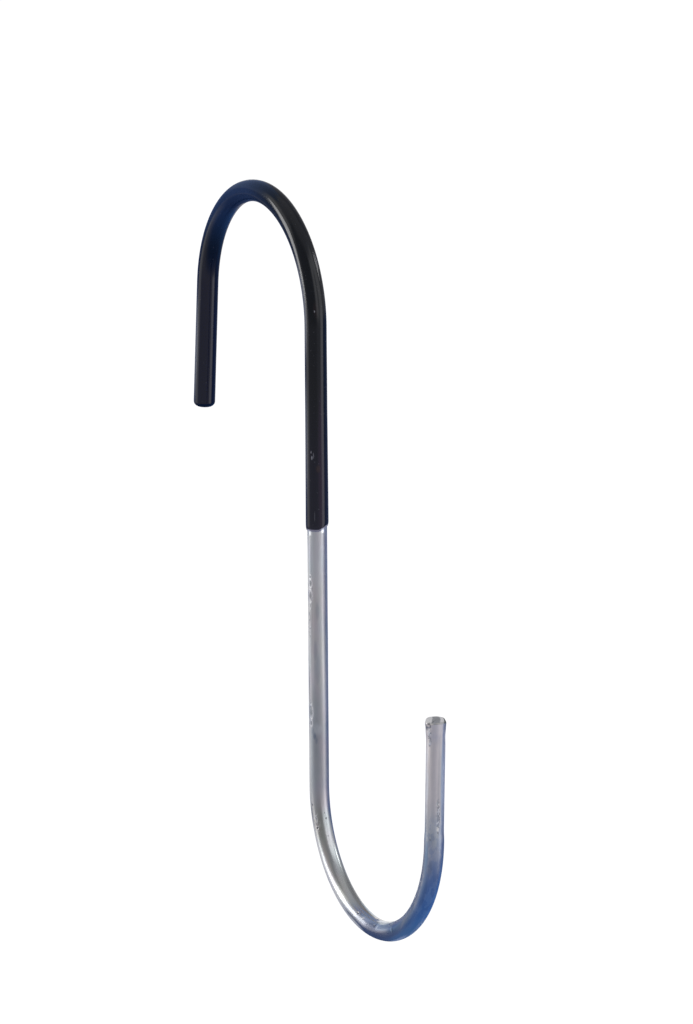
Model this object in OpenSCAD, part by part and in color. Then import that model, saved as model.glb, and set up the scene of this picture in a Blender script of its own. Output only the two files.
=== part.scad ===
// S hook bent from one round steel rod. A black vinyl coat, dipped on, covers the free end,
// the top bend and the upper part of the shank. The lower hook is bare metal with a sheared end.
//
// The hook lies in the XZ plane with its shank upright, as it hangs. The origin is the saddle of
// the top bend: the point of the coat's inner side that rests on a rail.

/* [Rod] */
// Diameter of the bare rod
rod_d = 6; // [3:0.1:12]

/* [Shank] */
// Straight length between the two bends
shank_len = 140.8; // [90:0.1:400]

/* [Top hook] */
// Radius of the top bend, measured to the middle of the rod
top_bend_r = 36.2; // [16:0.1:80]
// Straight rod from the top bend to its coated end
top_leg_len = 38.9; // [10:0.1:100]
// Outward lean of the coated leg, in degrees
top_splay = 5; // [0:0.1:30]

/* [Bottom hook] */
// Radius of the bottom bend, measured to the middle of the rod
bottom_bend_r = 36.4; // [16:0.1:80]
// Straight rod from the bottom bend to the sheared end
bottom_leg_len = 37.2; // [12:0.1:100]
// Outward lean of the bare leg, in degrees
bottom_splay = 2.4; // [0:0.1:30]

/* [Sheared end] */
// How far the cropped rim stands out past the rod all round
flare = 0.2; // [0:0.01:0.6]
// Length over which the rod spreads out to its cropped rim
flare_len = 3.5; // [2.5:0.1:8]
// Rounding of the cropped rim
rim_round = 0.3; // [0.05:0.01:1]

/* [Vinyl coat] */
// Thickness of the coat on the leg, the bend and the top of the shank
coat_wall = 0.38; // [0.2:0.01:2]
// Thickness of the coat just above its lower edge, where the dip drained last
coat_edge_wall = 0.5; // [0.3:0.01:2.5]
// How far down the shank the coat reaches from the top bend
coat_reach = 61.5; // [50:0.1:85]
// Length of shank over which the coat thickens towards its lower edge
coat_swell_len = 34; // [5:0.1:40]
// Length over which the lower edge thins out
coat_edge_taper = 1.8; // [0.5:0.1:4]
// Thickness of the lower edge itself
coat_lip = 0.12; // [0.05:0.01:0.3]
// Thickness of the coat over the end of the rod
coat_cap = 0.8; // [0.3:0.01:3]
// Rounding of the coated tip
tip_round = 1.6; // [0.4:0.1:1.6]

/* [Hidden] */
$fn = 96;

rod_r = rod_d / 2;
rim_r = rod_r + flare;
coat_r = rod_r + coat_wall;
coat_edge_r = rod_r + coat_edge_wall;
coat_lip_r = rod_r + coat_lip;

top_turn = 180 - top_splay;
bottom_turn = 180 - bottom_splay;

// The top bend's centre lies its inner radius below the saddle
top_centre = [0, 0, coat_r - top_bend_r];
shank_x = top_bend_r;
shank_top_z = top_centre[2];
bottom_centre = [shank_x + bottom_bend_r, 0, shank_top_z - shank_len];

// The bare leg's plain length, below its spread end
bare_leg_len = bottom_leg_len - flare_len;
spread_len = flare_len - 2 * rim_round;

coat_taper_top = coat_reach - coat_edge_taper;
coat_plain_len = coat_taper_top - coat_swell_len;

// How much of a bend is swept from either end. The two sweeps overlap in the middle.
bend_share = 0.6;

// The first share of a bend in the XZ plane, round the origin, from +X towards +Z
module sweep(bend_r, radius, turn)
    rotate([90, 0, 0])
        rotate_extrude(angle = turn * bend_share)
            translate([bend_r, 0])
                circle(r = radius);

// One hook, round the origin: its bend starts on +X, square with the shank, and the children stand
// on its far end with +Z along the leg. It is swept from both ends, so that each straight meets
// its own sweep face to face.
module hook(bend_r, radius, turn) {
    sweep(bend_r, radius, turn);
    rotate([0, -turn, 0]) {
        mirror([0, 0, 1]) sweep(bend_r, radius, turn);
        translate([bend_r, 0, 0]) children();
    }
}

module top_hook(radius)
    translate(top_centre)
        hook(top_bend_r, radius, top_turn)
            children();

module bottom_hook(radius)
    translate(bottom_centre)
        rotate([0, 180, 0])
            hook(bottom_bend_r, radius, bottom_turn)
                children();

// Places its children at the top of the shank, +Z down it
module down_shank()
    translate([shank_x, 0, shank_top_z])
        rotate([180, 0, 0])
            children();

// Bar along +Z whose far rim is rounded
module round_ended(radius, length, rim)
    rotate_extrude() {
        square([radius - rim, length]);
        square([radius, length - rim]);
        translate([radius - rim, length - rim])
            intersection() {
                circle(r = rim);
                square(rim);
            }
    }

// The rod's last stretch, which spreads a little towards its rounded, sheared rim
module sheared_end() {
    cylinder(h = spread_len, r1 = rod_r, r2 = rim_r);
    translate([0, 0, spread_len])
        round_ended(rim_r, 2 * rim_round, rim_round);
}

module steel_rod()
    color("silver") {
        top_hook(rod_r) cylinder(h = top_leg_len, r = rod_r);
        down_shank() cylinder(h = shank_len, r = rod_r);
        bottom_hook(rod_r) {
            cylinder(h = bare_leg_len, r = rod_r);
            translate([0, 0, bare_leg_len]) sheared_end();
        }
    }

// The coat's outer form, solid through
module coat_outside() {
    top_hook(coat_r) round_ended(coat_r, top_leg_len + coat_cap, tip_round);
    down_shank() {
        cylinder(h = coat_plain_len, r = coat_r);
        translate([0, 0, coat_plain_len])
            cylinder(h = coat_swell_len, r1 = coat_r, r2 = coat_edge_r);
        translate([0, 0, coat_taper_top])
            cylinder(h = coat_edge_taper, r1 = coat_edge_r, r2 = coat_lip_r);
    }
}

// The coat grips the rod, so its inside is the rod's own surface
module vinyl_coat()
    color([0.07, 0.07, 0.09])
        difference() {
            coat_outside();
            steel_rod();
        }

steel_rod();
vinyl_coat();
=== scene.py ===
"""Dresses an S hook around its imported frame: a bent steel rod, bare below and dipped in black vinyl above."""
import math

import bpy
from bpy.props import FloatProperty, FloatVectorProperty, IntProperty, PointerProperty
from mathutils import Matrix, Vector


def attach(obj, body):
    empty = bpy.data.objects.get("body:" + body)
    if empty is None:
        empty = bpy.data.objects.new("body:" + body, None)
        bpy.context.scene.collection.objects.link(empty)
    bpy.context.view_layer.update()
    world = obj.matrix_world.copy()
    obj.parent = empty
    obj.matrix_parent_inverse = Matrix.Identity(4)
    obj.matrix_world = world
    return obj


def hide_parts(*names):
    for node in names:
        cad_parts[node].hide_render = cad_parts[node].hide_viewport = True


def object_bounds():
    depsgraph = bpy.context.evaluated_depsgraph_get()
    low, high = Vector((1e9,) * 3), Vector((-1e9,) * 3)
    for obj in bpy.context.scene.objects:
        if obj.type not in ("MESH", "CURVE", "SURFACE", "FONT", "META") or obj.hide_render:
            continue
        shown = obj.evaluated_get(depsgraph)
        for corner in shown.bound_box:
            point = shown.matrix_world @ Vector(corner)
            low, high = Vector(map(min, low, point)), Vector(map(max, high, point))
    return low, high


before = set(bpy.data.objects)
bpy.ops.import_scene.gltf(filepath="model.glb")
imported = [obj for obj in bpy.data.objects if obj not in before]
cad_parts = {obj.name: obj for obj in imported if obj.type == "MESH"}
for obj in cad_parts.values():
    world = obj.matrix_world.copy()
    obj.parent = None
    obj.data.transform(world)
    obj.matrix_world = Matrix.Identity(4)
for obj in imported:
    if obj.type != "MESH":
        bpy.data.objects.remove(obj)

bl_info = {
    "name": "S Hook",
    "version": (1, 0, 0),
    "blender": (4, 5, 0),
    "location": "View3D > Sidebar > S Hook",
    "description": "Makes a vinyl-coated steel S hook and the studio that it hangs in",
    "category": "Add Mesh",
}

MM = 0.001
CAD_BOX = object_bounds()
BODY = "root"
PLACE = "straightened"  # the attribute that says where a point lay before the rod was bent
SEAM = 1e-7  # points that lie this close are one point


# ---------------------------------------------------------------- Sizes, finish and studio


def length(name, text, millimetres):
    """A length that a user can change, given here in millimetres."""
    return FloatProperty(name=name, description=text, default=millimetres * MM, unit="LENGTH", precision=5)


def angle(name, text, degrees):
    return FloatProperty(name=name, description=text, default=math.radians(degrees), unit="ROTATION")


def colour(name, text, values):
    return FloatVectorProperty(name=name, description=text, default=values, size=3, subtype="COLOR", min=0)


def share(name, text, value):
    return FloatProperty(name=name, description=text, default=value, subtype="FACTOR", min=0, max=1)


def amount(name, text, value):
    return FloatProperty(name=name, description=text, default=value, min=0)


class HookSizes(bpy.types.PropertyGroup):
    """The rod's line and section, and the coat's, as in the construction, but for an earlier flare."""

    rod_radius: length("Rod Radius", "Radius of the bare rod", 3)
    shank_length: length("Shank Length", "Straight length between the two bends", 140.8)
    top_bend: length("Top Bend", "Radius of the top bend, to the middle of the rod", 36.2)
    top_leg: length("Top Leg", "Straight rod from the top bend to its coated end", 38.9)
    top_splay: angle("Top Splay", "Outward lean of the coated leg", 5)
    bottom_bend: length("Bottom Bend", "Radius of the bottom bend, to the middle of the rod", 36.4)
    bottom_leg: length("Bottom Leg", "Straight rod from the bottom bend to the sheared end", 37.2)
    bottom_splay: angle("Bottom Splay", "Outward lean of the bare leg", 2.4)
    flare: length("Flare", "How far the sheared rim stands out past the rod", 0.2)
    flare_length: length("Flare Length", "Length over which the rod spreads to its rim", 4.5)
    rim_round: length("Rim Rounding", "Rounding of the sheared rim", 0.3)
    coat_wall: length("Coat Wall", "Thickness of the coat", 0.38)
    coat_edge_wall: length("Coat Edge Wall", "Thickness of the coat just above its lower edge", 0.5)
    coat_reach: length("Coat Reach", "How far down the shank the coat reaches", 61.5)
    coat_swell: length("Coat Swell", "Length over which the coat thickens towards its lower edge", 34)
    coat_taper: length("Coat Taper", "Length over which the lower edge thins out", 1.8)
    coat_lip: length("Coat Lip", "Thickness of the lower edge itself", 0.12)
    coat_cap: length("Coat Cap", "Thickness of the coat over the end of the rod", 0.8)
    tip_round: length("Tip Rounding", "Rounding of the coated tip", 1.6)
    sides: IntProperty(name="Sides", description="Faces round the rod", default=72, min=12)


class HookFinish(bpy.types.PropertyGroup):
    """Colours and surfaces of the two materials."""

    steel: colour("Steel", "Colour of the clean steel", (0.67, 0.655, 0.65))
    steel_roughness: share("Steel Roughness", "Roughness of the clean steel", 0.42)
    vinyl: colour("Vinyl", "Colour of the coat", (0.003, 0.005, 0.010))
    vinyl_roughness: share("Vinyl Roughness", "Roughness of the clean coat", 0.15)
    wear: share("Wear", "Strength of the scuffs, pits and stains", 1.0)


class HookStudio(bpy.types.PropertyGroup):
    """The light round the hook."""

    floor_drop: length("Floor Drop", "Height from the floor to the hook's lowest point", 600)
    floor_white: share("Floor White", "Brightness of the floor's own colour", 0.9)
    key_power: amount("Key Power", "Power of the lamp at the left, in watts", 3.9)
    fill_power: amount("Fill Power", "Power of the narrow lamp at the right, in watts", 0.6)
    room_light: amount("Room Light", "Strength of the light that comes from all round", 0.75)


# ---------------------------------------------------------------- Node trees as expressions


class Wire:
    """One output of a node. Arithmetic on wires adds Math nodes to their tree."""

    def __init__(self, nodes, socket):
        self.nodes = nodes
        self.socket = socket

    def math(self, operation, *others):
        values = dict(enumerate((self, *others)))
        return self.nodes.add("ShaderNodeMath", {"operation": operation}, values)

    def __add__(self, other):
        return self.math("ADD", other)

    __radd__ = __add__

    def __sub__(self, other):
        return self.math("SUBTRACT", other)

    def __rsub__(self, other):
        return (-self).math("ADD", other)

    def __mul__(self, other):
        return self.math("MULTIPLY", other)

    __rmul__ = __mul__

    def __truediv__(self, other):
        return self.math("DIVIDE", other)

    def __pow__(self, other):
        return self.math("POWER", other)

    def __neg__(self):
        return self.math("MULTIPLY", -1.0)

    def __abs__(self):
        return self.math("ABSOLUTE")

    def sin(self):
        return self.math("SINE")

    def cos(self):
        return self.math("COSINE")

    def at_least(self, other):
        return self.math("MAXIMUM", other)

    def at_most(self, other):
        return self.math("MINIMUM", other)

    def above(self, other):
        """1 where this is more than other, and 0 elsewhere."""
        return self.math("GREATER_THAN", other)

    def vector_math(self, operation, values, output=0):
        return self.nodes.add("ShaderNodeVectorMath", {"operation": operation}, {0: self, **values}, output)

    def dot(self, vector):
        """This vector's length along another one."""
        return self.vector_math("DOT_PRODUCT", {1: vector}, "Value")

    def times(self, vector):
        """This vector with each part multiplied by another's."""
        return self.vector_math("MULTIPLY", {1: vector})

    def scaled(self, factor):
        """This vector or colour, so many times as large."""
        return self.vector_math("SCALE", {"Scale": factor})

    def ridge(self, width):
        """1 along the lines where a noise crosses its middle, and 0 away from them."""
        return (1.0 - abs(self - 0.5) / width).at_least(0.0)

    def ramp(self, start, end, low=0.0, high=1.0, smooth=True):
        """Goes from low, where this is start or less, to high, where it is end or more."""
        settings = {"interpolation_type": "SMOOTHSTEP" if smooth else "LINEAR"}
        values = {"Value": self, "From Min": start, "From Max": end, "To Min": low, "To Max": high}
        return self.nodes.add("ShaderNodeMapRange", settings, values)


class Nodes:
    """Adds nodes to one tree and joins them."""

    def __init__(self, tree):
        self.tree = tree

    def make(self, kind, settings=None, values=None):
        """A node of that type, with its settings made first and then its sockets' values or links."""
        node = self.tree.nodes.new(kind)
        for name, value in (settings or {}).items():
            if name == "stops":
                self._set_stops(node.color_ramp, value)
            else:
                setattr(node, name, value)
        for name, value in (values or {}).items():
            if isinstance(value, Wire):
                self.tree.links.new(value.socket, node.inputs[name])
            else:
                node.inputs[name].default_value = value
        return node

    def add(self, kind, settings=None, values=None, output=0):
        """The same, as the wire from one of the node's outputs."""
        return Wire(self, self.make(kind, settings, values).outputs[output])

    @staticmethod
    def _set_stops(ramp, stops):
        while len(ramp.elements) < len(stops):
            ramp.elements.new(1.0)
        for element, (position, shade) in zip(ramp.elements, stops):
            element.position = position
            element.color = (*shade, 1.0)

    def vector(self, x, y, z):
        return self.add("ShaderNodeCombineXYZ", None, {0: x, 1: y, 2: z})

    def mix(self, factor, first, second):
        """The first colour where factor is 0, and the second where it is 1 (the node's sockets 6 and 7)."""
        sockets = {0: factor, 6: first, 7: second}
        values = {key: (*value, 1.0) if isinstance(value, tuple) else value for key, value in sockets.items()}
        return self.add("ShaderNodeMix", {"data_type": "RGBA"}, values, 2)

    def layered(self, shade, layers):
        """The shade with other colours laid over it in turn: (how far each one covers, colour)."""
        for cover, tone in layers:
            shade = self.mix(cover, shade, tone)
        return shade

    def noise(self, place, scale, detail, roughness, seed, along=1.0):
        """Soft noise round 0.5, different for each seed. An along below 1 draws it out along the rod."""
        stretched = place.times((1.0, 1.0, along))
        values = {"Vector": stretched, "W": seed, "Scale": scale, "Detail": detail, "Roughness": roughness}
        return self.add("ShaderNodeTexNoise", {"noise_dimensions": "4D"}, values)


# ---------------------------------------------------------------- Meshes that follow the hook's line


class Stroke:
    """One stretch of the outline that is turned round the rod's line, drawn with so many rings.

    It goes so far along the rod and so far outwards. A bulging stroke is a quarter of an ellipse:
    it starts off along the way that bulge names, and ends square with it.
    """

    def __init__(self, rings, along=0.0, outward=0.0, bulge=None):
        self.rings = rings
        self.along = along
        self.outward = outward
        self.bulge = bulge

    def travel(self, part):
        """How far along and outwards the stroke has gone, where part runs from 0 to 1."""
        if self.bulge == "outward":
            turn = part * (math.pi / 2)
            return (1.0 - turn.cos()) * self.along, turn.sin() * self.outward
        if self.bulge == "along":
            turn = part * (math.pi / 2)
            return turn.sin() * self.along, (1.0 - turn.cos()) * self.outward
        return part * self.along, part * self.outward


def hook_tree(name, sizes):
    """A new geometry tree with one named input for each size, as (nodes, {size: wire})."""
    tree = bpy.data.node_groups.new(name, "GeometryNodeTree")
    tree.interface.new_socket("Geometry", in_out="OUTPUT", socket_type="NodeSocketGeometry")
    labels = {key: HookSizes.bl_rna.properties[key].name for key in sizes}
    for key, label in labels.items():
        kind = "NodeSocketInt" if key == "sides" else "NodeSocketFloat"
        tree.interface.new_socket(label, in_out="INPUT", socket_type=kind)
    nodes = Nodes(tree)
    entry = nodes.make("NodeGroupInput")
    wires = {key: Wire(nodes, entry.outputs[label]) for key, label in labels.items()}
    return nodes, wires


def turned_outline(nodes, strokes, start, sides):
    """A grid to be turned round the rod's line: (its mesh, length along, distance out, turn around)."""
    rings = sum(stroke.rings for stroke in strokes)
    counts = {"Size X": 1.0, "Size Y": 1.0, "Vertices X": rings + 1, "Vertices Y": sides + 1}
    mesh = nodes.add("GeometryNodeMeshGrid", None, counts)
    spot = nodes.add("GeometryNodeInputPosition")
    ring = (spot.dot((1.0, 0.0, 0.0)) + 0.5) * rings
    around = (spot.dot((0.0, 1.0, 0.0)) + 0.5) * (2 * math.pi)
    along = start
    outward = 0.0
    done = 0
    for stroke in strokes:
        part = ring.ramp(done, done + stroke.rings, smooth=False)
        more_along, more_outward = stroke.travel(part)
        along = more_along + along
        outward = more_outward + outward
        done += stroke.rings
    return mesh, along, outward, around


def bends(wires):
    """The two bends, top and bottom, as (radius, turn in radians, length along the rod)."""
    pair = []
    for end in ("top", "bottom"):
        radius = wires[end + "_bend"]
        turn = math.pi - wires[end + "_splay"]
        pair.append((radius, turn, radius * turn))
    return pair


def bend(nodes, wires, across, beside, along):
    """Takes straight rod, with its length from the shank's top, to its place on the hook.

    Across lies in the hook's plane, away from the free end on the shank, and beside is square with it.
    """
    (top, top_turn, top_arc), (bottom, bottom_turn, bottom_arc) = bends(wires)
    up = (-along).at_least(0.0)
    down = (along - wires["shank_length"]).at_least(0.0)
    top_phi = up.at_most(top_arc) / top
    bottom_phi = down.at_most(bottom_arc) / bottom
    up_leg = (up - top_arc).at_least(0.0)
    down_leg = (down - bottom_arc).at_least(0.0)
    shank = along.at_least(0.0).at_most(wires["shank_length"])
    saddle = wires["rod_radius"] + wires["coat_wall"]
    x = (
        top * top_phi.cos()
        - up_leg * top_turn.sin()
        + bottom * (1.0 - bottom_phi.cos())
        + down_leg * bottom_turn.sin()
    )
    z = (
        saddle
        - top
        + top * top_phi.sin()
        + up_leg * top_turn.cos()
        - shank
        - bottom * bottom_phi.sin()
        - down_leg * bottom_turn.cos()
    )
    phi = top_phi + bottom_phi
    return nodes.vector(x + across * phi.cos(), beside, z + across * phi.sin())


def finish_tree(nodes, wires, mesh, across, beside, along, material):
    """Bends the grid into place, closes its seam and poles, and gives it its material."""
    straight = nodes.vector(across, beside, along)
    kept = nodes.add(
        "GeometryNodeStoreNamedAttribute",
        {"data_type": "FLOAT_VECTOR", "domain": "POINT"},
        {"Geometry": mesh, "Name": PLACE, "Value": straight},
    )
    placed = bend(nodes, wires, across, beside, along)
    moved = nodes.add("GeometryNodeSetPosition", None, {"Geometry": kept, "Position": placed})
    closed = nodes.add("GeometryNodeMergeByDistance", None, {"Geometry": moved, "Distance": SEAM})
    smooth = nodes.add("GeometryNodeSetShadeSmooth", {"domain": "FACE"}, {"Geometry": closed})
    real = nodes.add("GeometryNodeRealizeInstances", None, {"Geometry": smooth})
    done = nodes.add("GeometryNodeSetMaterial", None, {"Geometry": real, "Material": material})
    nodes.make("NodeGroupOutput", None, {"Geometry": done})


def grown(name, tree, sizes, keys):
    """An object with the tree's result as its plain mesh."""
    piece = bpy.data.objects.new(name, bpy.data.meshes.new(name))
    bpy.context.scene.collection.objects.link(piece)
    modifier = piece.modifiers.new(name, "NODES")
    modifier.node_group = tree
    sockets = [item for item in tree.interface.items_tree if item.in_out == "INPUT"]
    for socket, key in zip(sockets, keys):
        modifier[socket.identifier] = getattr(sizes, key)
    graph = bpy.context.evaluated_depsgraph_get()
    mesh = bpy.data.meshes.new_from_object(piece.evaluated_get(graph))
    piece.modifiers.clear()
    piece.data = mesh
    mesh.name = name
    return piece


# ---------------------------------------------------------------- The rod

LINE_SIZES = (
    "rod_radius", "coat_wall", "shank_length", "top_bend", "top_leg", "top_splay",
    "bottom_bend", "bottom_leg", "bottom_splay", "sides",
)
ROD_SIZES = LINE_SIZES + ("flare", "flare_length", "rim_round", "coat_reach")
COAT_SIZES = LINE_SIZES + (
    "coat_edge_wall", "coat_reach", "coat_swell", "coat_taper", "coat_lip", "coat_cap", "tip_round",
)

# Where the bending tool pressed flats on the rod: (start and end in mm, degrees round the rod, depth in mm)
PRESS_FLATS = (
    (190.0, 202.6, -44.0, 0.10),
    (200.0, 213.6, -50.0, 0.13),
    (196.0, 213.6, -11.0, 0.14),
)
# How far inside its two ends a flat has its full depth, and the length over which it sinks in, in mm
FLAT_START = 4.0
FLAT_END = 0.8
FLAT_SOFTNESS = 1.6

# Each mark is (mm along from the shank's top, degrees round the rod, length, width, strength).
# The strength of these dents and burrs is their depth or height in mm.
DENTS = (
    (288.3, 119.0, 9.0, 6.4, 0.20),
    (189.6, -45.0, 1.3, 0.9, 0.06),
    (201.5, -52.0, 1.6, 1.0, 0.07),
    (213.6, -84.0, 1.0, 2.2, 0.05),
    (154.3, -62.0, 0.9, 0.7, 0.06),
    (151.6, -2.0, 0.8, 0.7, 0.05),
    (266.4, -170.0, 0.9, 0.6, 0.05),
    (258.7, -172.0, 1.1, 0.6, 0.05),
    (290.2, -111.0, 1.1, 1.4, 0.11),
    (289.6, -119.0, 1.3, 0.8, 0.07),
)
BURRS = (
    (290.2, -88.0, 2.4, 4.2, 0.15),
)

# How the shear left the bare end: (degrees round the rod, share of the radius where it starts, slope)
SHEAR_SLOPES = (
    (118.0, -1.0, 0.03),
    (-152.0, -1.0, 0.06),
    (118.0, 0.78, 0.90),
    (-100.0, 0.60, 0.40),
)
SHEAR_RISE = 0.72 * MM  # how far it stands past a plain end
SHEAR_REACH = 3.0 * MM  # the length of rod that leans with it
SHEAR_TEAR = 0.30 * MM  # how uneven it is

# The bare leg is drawn a little thinner below its sheared end: (start, end, softness)
WAIST = (258 * MM, 284 * MM, 4 * MM)
WAIST_DEPTH = 0.15 * MM

# The coat's lower edge hangs down on one side, where the dip ran off, and rises on the other
EDGE_HIGH = 75.0  # where it is highest, in degrees round the rod
EDGE_LIFT = 1.25 * MM
EDGE_SAG = 0.55 * MM
EDGE_RAGGED = 0.2 * MM
EDGE_SHARE = 0.3  # the share of the coat's swell that moves with its edge

# Share of the radius that keeps the finer meshes inside the construction's
ALLOWANCE = 0.005

# The rod's rings lie close together from so far above the coat's lower edge
COARSE_END = 4.0 * MM


def outwards(degrees, size=1.0):
    """The vector that points so far round the straight rod, with that size."""
    turn = math.radians(degrees)
    return (math.cos(turn) * size, math.sin(turn) * size, 0.0)


def oval(place, along, around, length, width):
    """A point's distance from the middle of an oval on the rod, squared, and whether it faces the oval.

    The distance is 1 at the oval's edge. Along is in millimetres, as the sizes are.
    """
    across = place.dot(outwards(around + 90, 2 / (width * MM)))
    down = place.dot((0.0, 0.0, 2 / (length * MM))) - 2 * along / length
    near = place.dot(outwards(around)).above(0.0)
    return across * across + down * down, near


def spot(place, *mark):
    """1 in the middle of an oval on the rod and 0 at its edge."""
    distance, near = oval(place, *mark)
    return distance.ramp(0.0, 1.0, 1.0, 0.0) * near


def loop(place, *mark):
    """1 along a loop just inside an oval's edge, and 0 away from it."""
    distance, near = oval(place, *mark)
    return (1.0 - abs(distance - 0.65) / 0.45).at_least(0.0) * near


def hollow(place, *mark):
    """1 in the middle of such a loop, and 0 on it."""
    distance, near = oval(place, *mark)
    return distance.ramp(0.0, 0.40, 1.0, 0.0) * near


def spots(place, table, shape=spot):
    """The strongest of the marks in a table."""
    first, *others = (shape(place, *mark[:4]) * mark[4] for mark in table)
    for mask in others:
        first = first.at_least(mask)
    return first


def between(wire, start, end, soft):
    """1 from start to end, with so long a fall on either side."""
    return wire.ramp(start - soft, start) * wire.ramp(end, end + soft, 1.0, 0.0)


def facets(place, reach, radius):
    """The strength of the dull facets, which end abruptly."""
    parts = []
    for start, end, around, width, strength in FACETS:
        facing = place.dot(outwards(around)) / radius
        edge = math.cos(math.radians(width / 2))
        parts.append(facing.ramp(edge - 0.03, edge + 0.03) * between(reach, start, end, 0.5) * strength)
    return sum(parts)


def edge_rise(place, radius):
    """How far the coat's lower edge lies above its lowest point, on this side of the rod."""
    facing = place.dot(outwards(EDGE_HIGH)) / radius
    return facing.ramp(-0.2, 0.95, 0.0, EDGE_LIFT)


def pressed(outward, around, along, radius):
    """Flattens the rod where the bending tool pressed on it."""
    for start, end, turn, depth in PRESS_FLATS:
        inside = between(along, (start + FLAT_START) * MM, (end - FLAT_END) * MM, FLAT_SOFTNESS * MM)
        facing = (around - math.radians(turn)).cos().at_least(0.3)
        outward = outward.at_most((radius - inside * (depth * MM)) / facing)
    return outward


def worn(nodes, place, outward, depth, scale, seed):
    """Takes up to that share off a radius, unevenly, so that light runs along it as on a bent rod."""
    unevenness = nodes.noise(place, scale, detail=1.0, roughness=0.5, seed=seed, along=0.25)
    return outward * (1.0 - (unevenness.ramp(0.25, 0.75, 0.0, depth, smooth=False) + ALLOWANCE))


def rod_tree(material):
    """The rod, from its coated end along to the flare and over the sheared face."""
    nodes, wires = hook_tree("rod", ROD_SIZES)
    radius = wires["rod_radius"]
    (_, _, top_arc), (_, _, bottom_arc) = bends(wires)
    hidden = top_arc + wires["top_leg"]
    end = wires["shank_length"] + bottom_arc + wires["bottom_leg"]
    spread = wires["flare_length"]
    rim = wires["rim_round"]
    covered = wires["coat_reach"] - COARSE_END
    strokes = (
        Stroke(6, outward=radius),
        Stroke(160, along=hidden + covered),
        Stroke(600, along=end - spread - covered),
        Stroke(60, along=spread - rim, outward=wires["flare"]),
        Stroke(12, along=rim, outward=-rim, bulge="along"),
        Stroke(34, outward=-(radius + wires["flare"] - rim)),
    )
    mesh, along, outward, around = turned_outline(nodes, strokes, -hidden, wires["sides"])
    place = nodes.vector(around.cos() * radius, around.sin() * radius, along)
    outward = worn(nodes, place, outward, depth=0.008, scale=260.0, seed=11.0)
    outward = pressed(outward, around, along, radius) - between(along, *WAIST) * WAIST_DEPTH
    on_rim = (outward / radius).ramp(0.8, 1.0)
    outward = outward + (spots(place, BURRS) - spots(place, DENTS)) * on_rim * MM
    across = outward * around.cos()
    beside = outward * around.sin()
    cut = nodes.vector(across, beside, 0.0)
    torn = nodes.noise(cut, scale=480.0, detail=2.0, roughness=0.6, seed=12.0)
    fall = torn * SHEAR_TEAR - SHEAR_RISE
    for degrees, start, slope in SHEAR_SLOPES:
        fall = (cut.dot(outwards(degrees)) - radius * start).at_least(0.0) * slope + fall
    along = along - fall * along.ramp(end - SHEAR_REACH, end)
    finish_tree(nodes, wires, mesh, across, beside, along, material)
    return nodes.tree


def coat_tree(material):
    """The coat, from its closed tip along to the thin lower edge and back along the inside."""
    nodes, wires = hook_tree("coat", COAT_SIZES)
    radius = wires["rod_radius"]
    (_, _, top_arc), _ = bends(wires)
    tip = top_arc + wires["top_leg"] + wires["coat_cap"]
    rounding = wires["tip_round"]
    wall = wires["coat_wall"]
    edge = wires["coat_edge_wall"]
    lip = wires["coat_lip"]
    reach = wires["coat_reach"]
    plain = reach - wires["coat_taper"] - wires["coat_swell"]
    inside = reach + tip - wires["coat_cap"]
    strokes = (
        Stroke(10, outward=radius + wall - rounding),
        Stroke(20, along=rounding, outward=rounding, bulge="outward"),
        Stroke(480, along=tip - rounding + plain),
        Stroke(70, along=wires["coat_swell"], outward=edge - wall),
        Stroke(26, along=wires["coat_taper"], outward=lip - edge, bulge="along"),
        Stroke(3, outward=-lip),
        Stroke(200, along=-inside),
        Stroke(4, outward=-radius),
    )
    mesh, along, outward, around = turned_outline(nodes, strokes, -tip, wires["sides"])
    place = nodes.vector(around.cos() * radius, around.sin() * radius, along)
    outward = worn(nodes, place, outward, depth=0.010, scale=200.0, seed=13.0)
    across = outward * around.cos()
    beside = outward * around.sin()
    ring = nodes.vector(across, beside, 0.0)
    ragged = nodes.noise(ring, scale=420.0, detail=2.0, roughness=0.5, seed=14.0)
    lift = edge_rise(ring, radius) + ragged * EDGE_RAGGED - EDGE_SAG
    along = along - lift * along.ramp(reach - wires["coat_swell"] * EDGE_SHARE, reach)
    finish_tree(nodes, wires, mesh, across, beside, along, material)
    return nodes.tree


# ---------------------------------------------------------------- Materials


def new_material(name):
    """A material with an empty tree, as (material, nodes)."""
    material = bpy.data.materials.new(name)
    material.use_nodes = True
    material.node_tree.nodes.clear()
    return material, Nodes(material.node_tree)


def show(nodes, surface):
    nodes.make("ShaderNodeOutputMaterial", None, {"Surface": surface})


# Dark, bluish stains and smears on the steel
STAINS = (
    (132.0, -40.0, 46.0, 9.0, 0.30),
    (129.0, -47.0, 18.0, 4.0, 0.35),
    (137.0, -36.0, 24.0, 1.4, 0.25),
    (123.9, -64.0, 3.6, 1.4, 0.55),
    (125.2, -53.0, 3.6, 1.5, 0.80),
    (126.6, -42.0, 3.6, 1.4, 0.65),
    (262.5, -172.0, 13.0, 0.6, 0.55),
    (99.0, -44.0, 9.0, 1.6, 0.30),
    (86.5, -30.0, 7.0, 1.6, 0.22),
    (104.0, -34.0, 12.0, 2.6, 0.22),
    (68.0, -22.0, 8.0, 1.4, 0.20),
    (246.5, -134.0, 7.0, 2.0, 0.40),
    (238.0, -128.0, 14.0, 1.5, 0.45),
    (289.2, -80.0, 3.0, 2.6, 0.40),
    (289.6, 136.0, 4.0, 4.0, 0.60),
    (285.4, -116.0, 4.5, 1.4, 0.30),
)

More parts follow.
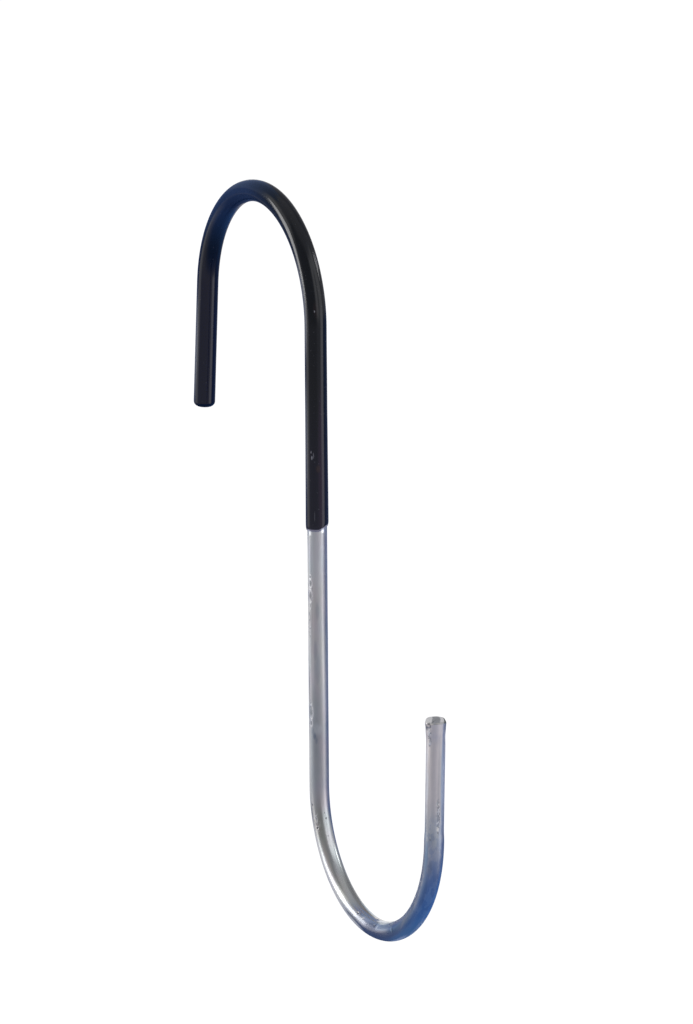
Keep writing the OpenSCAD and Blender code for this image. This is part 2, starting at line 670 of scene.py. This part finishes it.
# Loops that something hard and round has scratched
CURLS = (
    (81.9, -77.0, 4.8, 2.3, 1.0),
    (78.1, -75.0, 3.4, 1.8, 1.0),
    (76.1, -77.0, 1.8, 1.4, 0.8),
    (84.9, -77.0, 2.6, 0.8, 0.6),
    (118.0, -80.0, 5.2, 2.4, 0.9),
    (121.4, -78.0, 2.6, 1.6, 0.8),
)

# Scuffs, whose fine lines cross each other
SCUFFS = (
    (81.0, -70.0, 10.0, 2.4, 0.3),
    (91.0, -86.0, 11.0, 1.8, 0.6),
    (117.0, -82.0, 8.0, 3.0, 0.4),
    (152.0, -62.0, 9.0, 3.0, 0.5),
    (190.0, -44.0, 3.0, 2.0, 0.5),
    (262.5, -172.0, 13.0, 1.6, 0.8),
    (286.5, -112.0, 8.0, 2.0, 0.7),
    (104.0, 120.0, 14.0, 3.0, 0.7),
    (222.0, 150.0, 18.0, 4.0, 0.7),
    (176.0, 95.0, 12.0, 3.0, 0.6),
)

# Pale rubs from the bending tool, and painted highlights along the lower bend's edges
RUBS_AND_HIGHLIGHTS = (
    (203.5, -8.0, 10.0, 1.9, 1.00),
    (203.9, -52.0, 4.2, 4.0, 0.60),
    (208.5, -19.0, 10.0, 2.3, 1.00),
    (166.0, -94.0, 28.0, 3.2, 0.90),
    (183.0, -103.0, 18.0, 3.0, 0.80),
    (272.0, -88.0, 28.0, 2.6, 0.60),
    (272.0, 146.0, 28.0, 2.4, 0.70),
    (123.0, -36.0, 5.0, 3.4, 0.30),
    (266.4, -168.0, 1.6, 1.0, 0.80),
    (258.7, -170.0, 2.4, 0.8, 0.80),
)

# Polished places beside the coat's lower edge, paled as painted glints
POLISHED_GLINTS = (
    (61.7, 4.0, 1.9, 2.4, 1.0),
    (62.6, -76.0, 1.9, 2.2, 1.0),
)

# Painted highlights along the rod's bright edges, pale and matt; the last two are pale scratches on the bare
# leg
RIM_HIGHLIGHTS_AND_SCRATCHES = (
    (85.0, -98.0, 54.0, 2.4, 0.75),
    (130.0, -98.0, 48.0, 2.4, 0.70),
    (162.0, -106.0, 34.0, 3.2, 1.00),
    (176.0, -111.0, 28.0, 3.4, 1.00),
    (188.0, -117.0, 16.0, 3.0, 0.90),
    (206.0, -27.0, 9.0, 1.6, 0.90),
    (213.0, -163.0, 13.0, 1.9, 0.90),
    (222.0, 177.0, 18.0, 1.6, 0.25),
    (258.6, -171.0, 2.2, 1.1, 0.90),
    (266.2, -170.0, 1.8, 1.1, 0.90),
)

# Long strips of painted reflection along the rod, standing in for the bands it reflects: dull and dark, warm
# and pale, and blue
DARK_REFLECTION_STRIPS = (
    (84.0, -72.0, 76.0, 1.5, 0.55),
    (80.0, 16.0, 78.0, 1.9, 0.65),
    (187.0, -63.0, 19.0, 3.6, 1.00),
    (199.0, -64.0, 11.0, 2.8, 0.65),
    (271.0, 179.0, 50.0, 1.8, 0.50),
    (264.0, -103.0, 40.0, 1.8, 0.40),
)
PALE_REFLECTION_STRIPS = (
    (71.0, -32.0, 28.0, 3.4, 0.50),
    (165.0, -50.0, 16.0, 1.8, 0.60),
    (195.5, -46.0, 8.0, 1.8, 0.40),
)
BLUE_REFLECTION_STRIPS = (
    (216.0, -86.0, 15.0, 3.2, 1.00),
    (191.0, 25.0, 22.0, 2.0, 0.75),
    (226.0, -108.0, 16.0, 2.6, 0.80),
    (239.0, -118.0, 16.0, 2.4, 0.70),
    (249.0, -104.0, 14.0, 2.0, 0.80),
    (274.0, 160.0, 38.0, 1.6, 0.75),
)

# Small dark pits and nicks
PITS = (
    (154.3, -62.0, 1.0, 0.8, 0.95),
    (151.6, -2.0, 0.9, 0.7, 0.80),
    (149.8, -8.0, 0.6, 0.5, 0.60),
    (157.5, -8.0, 0.6, 0.5, 0.50),
    (147.0, -80.0, 1.2, 0.7, 0.55),
    (189.6, -45.0, 1.5, 0.8, 0.70),
    (190.8, -36.0, 1.0, 0.5, 0.60),
    (201.3, -55.0, 1.6, 0.7, 0.70),
    (213.7, -86.0, 0.6, 2.4, 0.55),
    (211.0, -40.0, 1.0, 0.8, 0.50),
    (255.3, -128.0, 0.8, 0.8, 0.30),
    (257.4, -172.0, 0.8, 0.5, 0.60),
    (265.0, -172.0, 0.8, 0.5, 0.60),
    (290.4, -109.0, 0.9, 1.7, 0.70),
    (289.2, -93.0, 2.6, 2.0, 0.40),
    (289.8, -119.0, 1.3, 0.7, 0.65),
    (290.8, -124.0, 0.8, 0.9, 0.50),
)

# Dull facets that the tool left: (start and end in mm, degrees round the rod, width in degrees, strength)
FACETS = (
    (202.8, 213.6, -46.0, 64.0, 0.60),
    (191.5, 202.4, -40.0, 50.0, 0.28),
)

# Pale nicks and lines on the coat
NICKS = (
    (39.3, -53.0, 1.6, 0.7, 0.9),
    (37.6, -57.0, 1.1, 0.5, 0.8),
    (38.6, -44.0, 2.4, 0.4, 0.6),
    (57.2, -40.0, 4.0, 0.30, 0.3),
    (-4.8, -30.0, 0.8, 0.5, 0.9),
    (-19.0, 29.0, 6.5, 0.45, 0.8),
    (22.0, 140.0, 3.0, 0.5, 0.7),
    (-96.0, 60.0, 4.0, 0.5, 0.7),
)

# Strips of painted highlight down the coat's left side, where its edge catches the light
PAINTED_SHEEN_STRIPS = (
    (-6.0, -92.0, 40.0, 2.0, 1.00),
    (34.0, -91.0, 50.0, 1.7, 0.60),
    (-131.0, -88.0, 44.0, 2.2, 0.80),
)

# Painted glints: white spots where the coat's lip ends on the metal
LIP_GLINTS = (
    (61.9, -80.0, 1.0, 2.4, 1.0),
    (61.3, 6.0, 1.1, 2.2, 1.0),
)

# Brownish rubs and a long violet tone on the coat
BROWN_RUBS = (
    (42.6, -20.0, 3.0, 1.8, 0.8),
    (-5.0, -24.0, 6.0, 2.0, 0.3),
)
VIOLET_TONES = (
    (44.0, -4.0, 66.0, 2.4, 0.9),
)

# Stretches of the rod whose tone or polish differs: (start, end, softness), in mm from the shank's top
POLISHED_BEND = (154.0, 196.0, 14.0)
LOW_BEND = (212.0, 238.0, 18.0)
FLATTENED = (190.0, 213.6, 4.0)
# Where the rod rises to the bare leg, a painted blue reflection: bluer, and in dark blue patches
BLUE_REFLECTION_RISE = (232.0, 250.0, 14.0)
PATCHY_REFLECTION_RISE = (232.0, 256.0, 9.0)
DIM_RISE = (246.0, 255.0, 6.0)
PALE_SHANK = (60.0, 98.0, 14.0)
DIM_SHANK = (114.0, 150.0, 8.0)
BARE_LEG = (252.0, 270.0)  # its tone comes in over this stretch
SHEARED_FACE = (290.40, 290.55)

# Stretches of the coat
BLUE_REFLECTION_BEND = (-80.0, -63.0, 20.0)
COATED_LEG = (-112.0, -90.0)
COATED_SHANK = (16.0, 50.0)

# Runs across the sheared face towards its lit side, along which the face is painted light and dark
FACE_LIT_SIDE = outwards(-61)


def rod_material(name):
    """A material for the rod or the coat, as (material, nodes, place on the straight rod, mm along it)."""
    material, nodes = new_material(name)
    place = nodes.add("ShaderNodeAttribute", {"attribute_name": PLACE}, None, "Vector")
    return material, nodes, place, place.dot((0.0, 0.0, 1.0 / MM))


def show_surface(nodes, height, values):
    """Ends a material with its shader, over bumps whose height is in mm."""
    normal = nodes.add("ShaderNodeBump", None, {"Strength": 1.0, "Distance": MM, "Height": height})
    show(nodes, nodes.add("ShaderNodeBsdfPrincipled", None, {"Normal": normal, **values}))


def sheared_face(nodes, place, sheared, blotch):
    """The cropped end, as (its grey colour with a painted shaded edge, where its painted highlights lie, the
    noise of the tear).
    """
    torn = nodes.noise(
        place.times((1.0, 0.35, 1.0)), scale=1900.0, detail=2.0, roughness=0.6, seed=15.0, along=0.2
    )
    outward = place.times((1.0, 1.0, 0.0))
    radius = outward.dot(outward) ** 0.5 / MM
    # In mm across the face towards its lit side: painted shade at the far edge, a painted highlight just past
    # it, then grey, and a painted highlight again
    side = place.dot(FACE_LIT_SIDE) / MM + (blotch - 0.5)
    far_side_highlight = side.ramp(-1.35, -0.95, 1.0, 0.0) * side.ramp(-2.30, -2.10)
    far_side_highlight = far_side_highlight * radius.ramp(2.60, 2.80, 1.0, 0.0)
    # Painted highlights on the sheared face, broken by the tear
    bright = (side.ramp(0.90, 1.25) + far_side_highlight) * sheared * torn.ramp(0.25, 0.5, 0.7, 1.0)
    face = nodes.mix(side.ramp(-2.50, -2.15, 1.0, 0.0), (0.63, 0.62, 0.60), (0.16, 0.19, 0.18))
    return face, bright, torn


def steel(finish, sizes):
    """Drawn steel, bright but handled: fine lines along the rod, stains, scuffs, rubs and pits, with painted
    reflections, highlights and glints.
    """
    material, nodes, place, reach = rod_material("drawn_steel")
    lines = nodes.noise(place, scale=2600.0, detail=3.0, roughness=0.6, seed=1.0, along=0.02)
    grain = nodes.noise(place, scale=5200.0, detail=2.0, roughness=0.6, seed=2.0)
    cloud = nodes.noise(place, scale=260.0, detail=3.0, roughness=0.6, seed=3.0, along=0.3)
    warmth = nodes.noise(place, scale=130.0, detail=2.0, roughness=0.5, seed=6.0, along=0.35)
    blotch = nodes.noise(place, scale=420.0, detail=3.0, roughness=0.6, seed=7.0, along=0.5)
    squiggle = nodes.noise(place, scale=700.0, detail=1.0, roughness=0.4, seed=8.0, along=0.7)
    curl = nodes.noise(place, scale=750.0, detail=1.0, roughness=0.4, seed=9.0, along=0.7)
    specks = nodes.noise(place, scale=1900.0, detail=1.0, roughness=0.7, seed=10.0, along=0.6)
    bloom = nodes.noise(place, scale=210.0, detail=2.0, roughness=0.5, seed=18.0, along=0.4)
    patches = nodes.noise(place, scale=620.0, detail=2.0, roughness=0.6, seed=19.0, along=0.55)

    # Where the tones and marks lie
    wear = finish.wear
    bent = between(reach, *POLISHED_BEND)
    low = between(reach, *LOW_BEND)
    leg = reach.ramp(*BARE_LEG)
    flats = between(reach, *FLATTENED)
    sheared = reach.ramp(*SHEARED_FACE)
    face, bright, torn = sheared_face(nodes, place, sheared, blotch)
    # Patches of painted blue reflection where the rod rises
    blue_reflection_patches = patches.ramp(0.46, 0.54) * between(reach, *PATCHY_REFLECTION_RISE) * 0.55
    stained = (spots(place, STAINS) * (0.6 + 0.8 * blotch) + blotch.ramp(0.60, 0.78) * 0.16) * wear
    # Pale rubs and painted highlights
    rubs_and_highlights = spots(place, RUBS_AND_HIGHLIGHTS) * blotch.ramp(0.30, 0.55) * wear
    dulled = facets(place, reach, sizes.rod_radius) * blotch.ramp(0.25, 0.60, 0.5, 1.0) * wear
    scuffed = spots(place, SCUFFS).ramp(0.0, 0.6) + cloud.ramp(0.64, 0.80) * 0.35
    scuffed = scuffed * (1.0 - flats * 0.6) * wear
    loops = spots(place, CURLS, loop) * wear
    dark_lines = (squiggle.ridge(0.05) * scuffed).at_least(spots(place, CURLS, hollow) * 0.8 * wear)
    pale_lines = curl.ridge(0.075) * scuffed
    pits = (spots(place, PITS) * wear).at_least(specks.ramp(0.76, 0.86) * 0.4 * wear)
    # Polished places with painted glints
    polished_glints = spots(place, POLISHED_GLINTS)
    # Painted edge highlights and pale scratches
    rim_highlights_and_scratches = spots(place, RIM_HIGHLIGHTS_AND_SCRATCHES) * cloud.ramp(0.25, 0.50, 0.6, 1.0)

    # Cooler and warmer, darker and paler, with a painted blue reflection where the rod rises to the leg
    tint = nodes.mix(warmth.ramp(0.35, 0.65), (0.955, 1.0, 1.035), (1.035, 1.0, 0.955))
    tint = tint.times(nodes.mix(bloom.ramp(0.38, 0.62), (0.965, 1.015, 1.0), (1.018, 0.985, 1.02)))
    tint = nodes.mix(leg, tint, (1.05, 1.0, 0.95))
    tint = nodes.mix(between(reach, *BLUE_REFLECTION_RISE) * 0.8, tint, (0.92, 1.01, 1.12))
    value = 1.0 + (cloud - 0.5) * 0.28 + (lines - 0.5) * 0.12 + leg * 0.34
    value = value + between(reach, *PALE_SHANK) * 0.10
    value = value - between(reach, *DIM_SHANK) * 0.07 - between(reach, *DIM_RISE) * 0.08
    layers = (
        # Painted blue reflection in patches
        (blue_reflection_patches, (0.36, 0.44, 0.58)),
        (stained, (0.24, 0.29, 0.36)),
        (dulled, (0.78, 0.87, 0.84)),
        # Painted reflection strips: dark, warm and pale, and blue
        (spots(place, DARK_REFLECTION_STRIPS), (0.29, 0.30, 0.33)),
        (spots(place, PALE_REFLECTION_STRIPS), (0.93, 0.87, 0.85)),
        (spots(place, BLUE_REFLECTION_STRIPS), (0.30, 0.43, 0.58)),
        # Pale rubs, painted highlights and painted glints
        (rubs_and_highlights.at_least(polished_glints), (0.95, 0.97, 0.98)),
        # Painted edge highlights, warm except on the low bend, where they are cool
        (rim_highlights_and_scratches, nodes.mix(low, (0.98, 0.945, 0.88), (0.90, 0.96, 1.0))),
        # The sheared face, painted lighter on its lit side and darker on its far edge
        (sheared, face),
        (bright, (0.98, 0.96, 0.93)),
        (pale_lines.at_least(loops) * 0.90, (0.97, 0.97, 0.97)),
        (dark_lines * 0.75, (0.16, 0.17, 0.19)),
        (pits, (0.05, 0.05, 0.06)),
    )
    shade = nodes.layered(tint.times(tuple(finish.steel)).scaled(value), layers)

    roughness = finish.steel_roughness + (cloud - 0.5) * 0.14 + (lines - 0.5) * 0.10
    roughness = roughness - bent * 0.14 - low * 0.10 - flats * 0.04 + leg * 0.08
    roughness = roughness + rim_highlights_and_scratches * 0.35 * (1.0 - loops) - loops * 0.22 - polished_glints * 0.22
    roughness = roughness + dulled * 0.05 + stained * 0.06 + scuffed * 0.03
    roughness = roughness + pale_lines * 0.10 + sheared * 0.10

    height = (lines - 0.5) * 0.010 + (grain - 0.5) * 0.004 + (blotch - 0.5) * 0.012
    height = height * (1.0 - flats * 0.8)
    height = height - dark_lines * 0.03 + pale_lines * 0.02 + loops * 0.01 - pits * 0.05
    height = height + (torn - 0.5) * sheared * (0.20 - bright * 0.08)

    # The painted edge highlights, the painted highlights on the torn face and the scratches are matt
    matt = (rim_highlights_and_scratches * 0.9 * (1.0 - loops)).at_least(bright).at_least(pale_lines * 0.7)
    show_surface(nodes, height, {"Base Color": shade, "Metallic": 1.0 - matt, "Roughness": roughness})
    return material


def vinyl(finish, sizes):
    """Dipped vinyl: glossy, a little uneven, with painted blue reflection over the bend and on the coated leg,
    and a thin, paler lip.
    """
    material, nodes, place, reach = rod_material("black_vinyl")
    ripple = nodes.noise(place, scale=320.0, detail=2.0, roughness=0.5, seed=4.0, along=0.4)
    cloud = nodes.noise(place, scale=200.0, detail=3.0, roughness=0.6, seed=5.0, along=0.3)
    drag = nodes.noise(place, scale=1500.0, detail=2.0, roughness=0.6, seed=16.0, along=0.03)
    dust = nodes.noise(place, scale=1700.0, detail=0.0, roughness=0.5, seed=17.0)

    wear = finish.wear
    lip_start = (sizes.coat_reach + EDGE_SAG - edge_rise(place, sizes.rod_radius)) / MM
    lip = (reach - lip_start).ramp(-0.90, -0.55)
    nicks = (spots(place, NICKS) * wear).at_least(dust.ramp(0.76, 0.80) * 0.12 * wear)

    # Painted blue reflection on the coated leg and over the bend, and a paler stretch along the shank
    shade = nodes.layered(tuple(finish.vinyl), (
        (reach.ramp(*COATED_LEG, 1.0, 0.0), (0.0005, 0.003, 0.022)),
        (reach.ramp(*COATED_SHANK), (0.008, 0.009, 0.022)),
        (between(reach, *BLUE_REFLECTION_BEND) * (0.7 + 0.6 * cloud), (0.014, 0.032, 0.090)),
    ))
    shade = nodes.layered(shade.scaled(1.0 + (cloud - 0.5) * 0.5 + (drag - 0.5) * 0.3), (
        (spots(place, VIOLET_TONES), (0.022, 0.011, 0.032)),
        (spots(place, BROWN_RUBS) * wear, (0.040, 0.024, 0.026)),
        # Painted highlight strips down the coat's left side
        (spots(place, PAINTED_SHEEN_STRIPS) * wear, (0.24, 0.24, 0.25)),
        (nicks, (0.30, 0.30, 0.33)),
        (lip, (0.40, 0.37, 0.44)),
        # Painted glints at the lip
        (spots(place, LIP_GLINTS), (0.95, 0.95, 1.0)),
    ))

    roughness = finish.vinyl_roughness + (cloud - 0.5) * 0.07 + (drag - 0.5) * 0.05 + nicks * 0.3 + lip * 0.15
    height = (ripple - 0.5) * 0.022 + (drag - 0.5) * 0.003 + nicks * 0.02
    show_surface(nodes, height, {"Base Color": shade, "Roughness": roughness, "Specular IOR Level": 0.44})
    return material


# ---------------------------------------------------------------- The stage

CAMERA_PLACE = (1.564084, -0.791644, 0.268945)
CAMERA_AIM = (0.037859, 0.009108, -0.089953)
CAMERA_ROLL = math.radians(-0.4066)
CAMERA_LENS = 205.47  # in mm, as the sensor is
CAMERA_SENSOR = 36.0
CAMERA_AZIMUTH = math.radians(62.3157)


def add_camera():
    data = bpy.data.cameras.new("camera")
    data.lens = CAMERA_LENS
    data.sensor_width = CAMERA_SENSOR
    data.clip_end = 100.0
    camera = bpy.data.objects.new("camera", data)
    place = Vector(CAMERA_PLACE)
    look = (Vector(CAMERA_AIM) - place).to_track_quat("-Z", "Y").to_matrix().to_4x4()
    camera.matrix_world = Matrix.Translation(place) @ look @ Matrix.Rotation(CAMERA_ROLL, 4, "Z")
    bpy.context.scene.collection.objects.link(camera)
    bpy.context.scene.camera = camera


def towards(azimuth, elevation):
    """The direction that lies so far to the right of the camera's side, and so far up, in degrees."""
    turn = CAMERA_AZIMUTH + math.radians(azimuth)
    rise = math.radians(elevation)
    return Vector((math.sin(turn) * math.cos(rise), -math.cos(turn) * math.cos(rise), math.sin(rise)))


CENTRE = (CAD_BOX[0] + CAD_BOX[1]) / 2

SURROUND_RADIUS = 1.3
SURROUND_COLUMNS = 72
SURROUND_ROWS = 36
SURROUND_GAP = 5 * MM  # between its flat part and the floor
LEVEL = 1e-6  # a direction that falls less than this counts as level

# What the hook reflects, from straight below to straight above: (elevation, colour)
SURROUND_BANDS = (
    (-90, (0.05, 0.15, 0.40)),
    (-44, (0.08, 0.15, 0.34)),
    (-34, (0.20, 0.25, 0.40)),
    (-24, (0.45, 0.45, 0.51)),
    (-14, (0.47, 0.46, 0.50)),
    (20, (0.38, 0.38, 0.40)),
    (90, (0.45, 0.45, 0.47)),
)

# Patches laid over the bands: (azimuths, elevations, softness, colour). Azimuth 0 is the camera's side.
SURROUND_PATCHES = (
    ((-190, -113), (12, 62), 8, (0.20, 0.27, 0.44)),
    ((-190, -113), (-14, 12), 8, (0.08, 0.13, 0.30)),
    ((-190, -113), (-54, -14), 10, (0.05, 0.08, 0.18)),
    ((-76, 12), (-8, 62), 20, (0.22, 0.22, 0.22)),
    ((-116, -78), (26, 44), 14, (0.95, 0.95, 0.95)),
    ((-116, -82), (-16, 0), 8, (1.00, 1.00, 1.02)),
    ((18, 86), (2, 52), 14, (1.18, 1.18, 1.20)),
    ((40, 52), (-4, 40), 8, (0.60, 0.60, 0.62)),
    ((52, 80), (-24, 8), 8, (1.50, 1.48, 1.55)),
    ((82, 155), (-50, 0), 8, (0.09, 0.14, 0.31)),
    ((100, 170), (-66, -24), 12, (0.07, 0.18, 0.46)),
    ((120, 185), (8, 62), 14, (0.22, 0.22, 0.24)),
)

# Where the surround is open, so that the white background shows: (azimuths, elevations, softness)
SURROUND_OPENINGS = (
    ((160, 200), (-10, 14), 8),
    ((-200, -170), (-10, 14), 8),
)


def patch_mask(azimuth, elevation, azimuths, elevations, softness):
    """1 inside a patch of the surround, with soft edges."""
    half = softness / 2
    (left, right), (low, high) = azimuths, elevations
    sideways = between(azimuth, left + half, right - half, softness)
    return sideways * between(elevation, low + half, high - half, softness)


def surround_material():
    """Glows towards the hook alone, in bands and soft patches."""
    material, nodes = new_material("surround")
    spot = nodes.add("ShaderNodeUVMap", {"uv_map": "UVMap"})
    azimuth = (spot.dot((1.0, 0.0, 0.0)) - 0.5) * 360.0
    elevation = (spot.dot((0.0, 1.0, 0.0)) - 0.5) * 180.0
    stops = [((height + 90) / 180, shade) for height, shade in SURROUND_BANDS]
    shade = nodes.add("ShaderNodeValToRGB", {"stops": stops}, {0: spot.dot((0.0, 1.0, 0.0))})
    for azimuths, elevations, softness, tint in SURROUND_PATCHES:
        mask = patch_mask(azimuth, elevation, azimuths, elevations, softness)
        shade = nodes.mix(mask, shade, tint)
    open_part = nodes.add("ShaderNodeNewGeometry", None, None, "Backfacing")
    for azimuths, elevations, softness in SURROUND_OPENINGS:
        open_part = open_part.at_least(patch_mask(azimuth, elevation, azimuths, elevations, softness))
    light = nodes.add("ShaderNodeEmission", None, {"Color": shade, "Strength": 1.0})
    clear = nodes.add("ShaderNodeBsdfTransparent")
    show(nodes, nodes.add("ShaderNodeMixShader", None, {0: open_part, 1: light, 2: clear}))
    return material


def add_surround(studio):
    """A shell of reflectors round the hook, flat on the floor below, that the camera doesn't see."""
    drop = CENTRE.z - CAD_BOX[0].z + studio.floor_drop - SURROUND_GAP
    vertices = []
    corners = []
    for row in range(SURROUND_ROWS + 1):
        for column in range(SURROUND_COLUMNS + 1):
            u, v = column / SURROUND_COLUMNS, row / SURROUND_ROWS
            direction = towards((u - 0.5) * 360, (v - 0.5) * 180)
            distance = min(SURROUND_RADIUS, drop / max(-direction.z, LEVEL))
            vertices.append(CENTRE + direction * distance)
            corners.append((u, v))
    faces = []
    for row in range(SURROUND_ROWS):
        for column in range(SURROUND_COLUMNS):
            first = row * (SURROUND_COLUMNS + 1) + column
            above = first + SURROUND_COLUMNS + 1
            faces.append((first, above, above + 1, first + 1))
    mesh = bpy.data.meshes.new("surround")
    mesh.from_pydata(vertices, [], faces)
    layer = mesh.uv_layers.new(name="UVMap")
    for corner in mesh.loops:
        layer.data[corner.index].uv = corners[corner.vertex_index]
    mesh.materials.append(surround_material())
    surround = bpy.data.objects.new("surround", mesh)
    bpy.context.scene.collection.objects.link(surround)
    surround.visible_camera = False
    surround.visible_shadow = False


LAMP_DISTANCE = 1.15


def add_lamp(name, azimuth, elevation, width, height, power):
    """A soft lamp that faces the middle of the hook."""
    data = bpy.data.lights.new(name, "AREA")
    data.shape = "RECTANGLE"
    data.size = width
    data.size_y = height
    data.energy = power
    lamp = bpy.data.objects.new(name, data)
    direction = towards(azimuth, elevation)
    turn = direction.to_track_quat("Z", "Y").to_matrix().to_4x4()
    lamp.matrix_world = Matrix.Translation(CENTRE + direction * LAMP_DISTANCE) @ turn
    lamp.visible_camera = False
    bpy.context.scene.collection.objects.link(lamp)


SEEING_RAYS = ("Camera", "Glossy", "Transmission")
FLOOR_HALF = 12.0
FLOOR_GLOW = 1.1
FLOOR_GLOW_SHARE = 0.9  # the rest is lit, so that the floor keeps the hook's shadow
FLOOR_CORNERS = ((-1, -1), (1, -1), (1, 1), (-1, 1))


def seen(nodes):
    """1 for what the camera sees, straight, in a reflection or through glass."""
    path = nodes.make("ShaderNodeLightPath")
    camera, glossy, through = (Wire(nodes, path.outputs[f"Is {ray} Ray"]) for ray in SEEING_RAYS)
    return camera.at_least(glossy).at_least(through)


def add_floor(studio):
    """A wide pale floor, white to the eye, which can be seen through from below."""
    material, nodes = new_material("floor")
    pale = (studio.floor_white,) * 3 + (1.0,)
    matt = nodes.add("ShaderNodeBsdfDiffuse", None, {"Color": pale})
    white = nodes.add("ShaderNodeEmission", None, {"Color": (1.0, 1.0, 1.0, 1.0), "Strength": FLOOR_GLOW})
    clear = nodes.add("ShaderNodeBsdfTransparent")
    behind = nodes.add("ShaderNodeNewGeometry", None, None, "Backfacing")
    top = nodes.add("ShaderNodeMixShader", None, {0: seen(nodes) * FLOOR_GLOW_SHARE, 1: matt, 2: white})
    show(nodes, nodes.add("ShaderNodeMixShader", None, {0: behind, 1: top, 2: clear}))
    z = CAD_BOX[0].z - studio.floor_drop
    mesh = bpy.data.meshes.new("floor")
    mesh.from_pydata([(x * FLOOR_HALF, y * FLOOR_HALF, z) for x, y in FLOOR_CORNERS], [], [(0, 1, 2, 3)])
    mesh.materials.append(material)
    floor = bpy.data.objects.new("floor", mesh)
    bpy.context.scene.collection.objects.link(floor)


def set_world(studio):
    world = bpy.data.worlds.new("studio")
    world.use_nodes = True
    world.node_tree.nodes.clear()
    nodes = Nodes(world.node_tree)
    white = nodes.add("ShaderNodeBackground", None, {"Color": (1, 1, 1, 1), "Strength": 1.0})
    room = nodes.add("ShaderNodeBackground", None, {"Color": (1, 1, 1, 1), "Strength": studio.room_light})
    both = nodes.add("ShaderNodeMixShader", None, {0: seen(nodes), 1: room, 2: white})
    nodes.make("ShaderNodeOutputWorld", None, {"Surface": both})
    bpy.context.scene.world = world


# ---------------------------------------------------------------- Operators


class S_HOOK_OT_rod(bpy.types.Operator):
    """Make the bent steel rod"""

    bl_idname = "s_hook.rod"
    bl_label = "Steel Rod"

    def execute(self, context):
        sizes = context.scene.s_hook_sizes
        metal = steel(context.scene.s_hook_finish, sizes)
        piece = grown("rod", rod_tree(metal), sizes, ROD_SIZES)
        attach(piece, BODY)
        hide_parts("steel_rod")
        return {"FINISHED"}


class S_HOOK_OT_coat(bpy.types.Operator):
    """Make the vinyl coat"""

    bl_idname = "s_hook.coat"
    bl_label = "Vinyl Coat"

    def execute(self, context):
        sizes = context.scene.s_hook_sizes
        skin = vinyl(context.scene.s_hook_finish, sizes)
        piece = grown("coat", coat_tree(skin), sizes, COAT_SIZES)
        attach(piece, BODY)
        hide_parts("vinyl_coat")
        return {"FINISHED"}


class S_HOOK_OT_stage(bpy.types.Operator):
    """Set up the camera, the floor and the light"""

    bl_idname = "s_hook.stage"
    bl_label = "Stage"

    def execute(self, context):
        studio = context.scene.s_hook_studio
        add_camera()
        add_floor(studio)
        set_world(studio)
        add_surround(studio)
        add_lamp("key", azimuth=-100.5, elevation=12, width=0.43, height=0.56, power=studio.key_power)
        add_lamp("fill", azimuth=106, elevation=27, width=0.15, height=0.28, power=studio.fill_power)
        bpy.context.scene.view_settings.view_transform = "Standard"
        return {"FINISHED"}


class S_HOOK_PT_panel(bpy.types.Panel):
    """Lists the hook's sizes, finish and studio, and the operators that use them"""

    bl_label = "S Hook"
    bl_idname = "S_HOOK_PT_panel"
    bl_space_type = "VIEW_3D"
    bl_region_type = "UI"
    bl_category = "S Hook"

    def draw(self, context):
        scene = context.scene
        for group in (scene.s_hook_sizes, scene.s_hook_finish, scene.s_hook_studio):
            box = self.layout.box()
            for key in group.__annotations__:
                box.prop(group, key)
        for kind in (S_HOOK_OT_stage, S_HOOK_OT_rod, S_HOOK_OT_coat):
            self.layout.operator(kind.bl_idname)


CLASSES = (HookSizes, HookFinish, HookStudio, S_HOOK_OT_rod, S_HOOK_OT_coat, S_HOOK_OT_stage, S_HOOK_PT_panel)
GROUPS = {"s_hook_sizes": HookSizes, "s_hook_finish": HookFinish, "s_hook_studio": HookStudio}


def register():
    for kind in CLASSES:
        bpy.utils.register_class(kind)
    for name, group in GROUPS.items():
        setattr(bpy.types.Scene, name, PointerProperty(type=group))


def unregister():
    for name in GROUPS:
        delattr(bpy.types.Scene, name)
    for kind in reversed(CLASSES):
        bpy.utils.unregister_class(kind)


def main():
    register()
    bpy.ops.s_hook.stage()
    bpy.ops.s_hook.rod()
    bpy.ops.s_hook.coat()


if __name__ == "__main__":
    main()
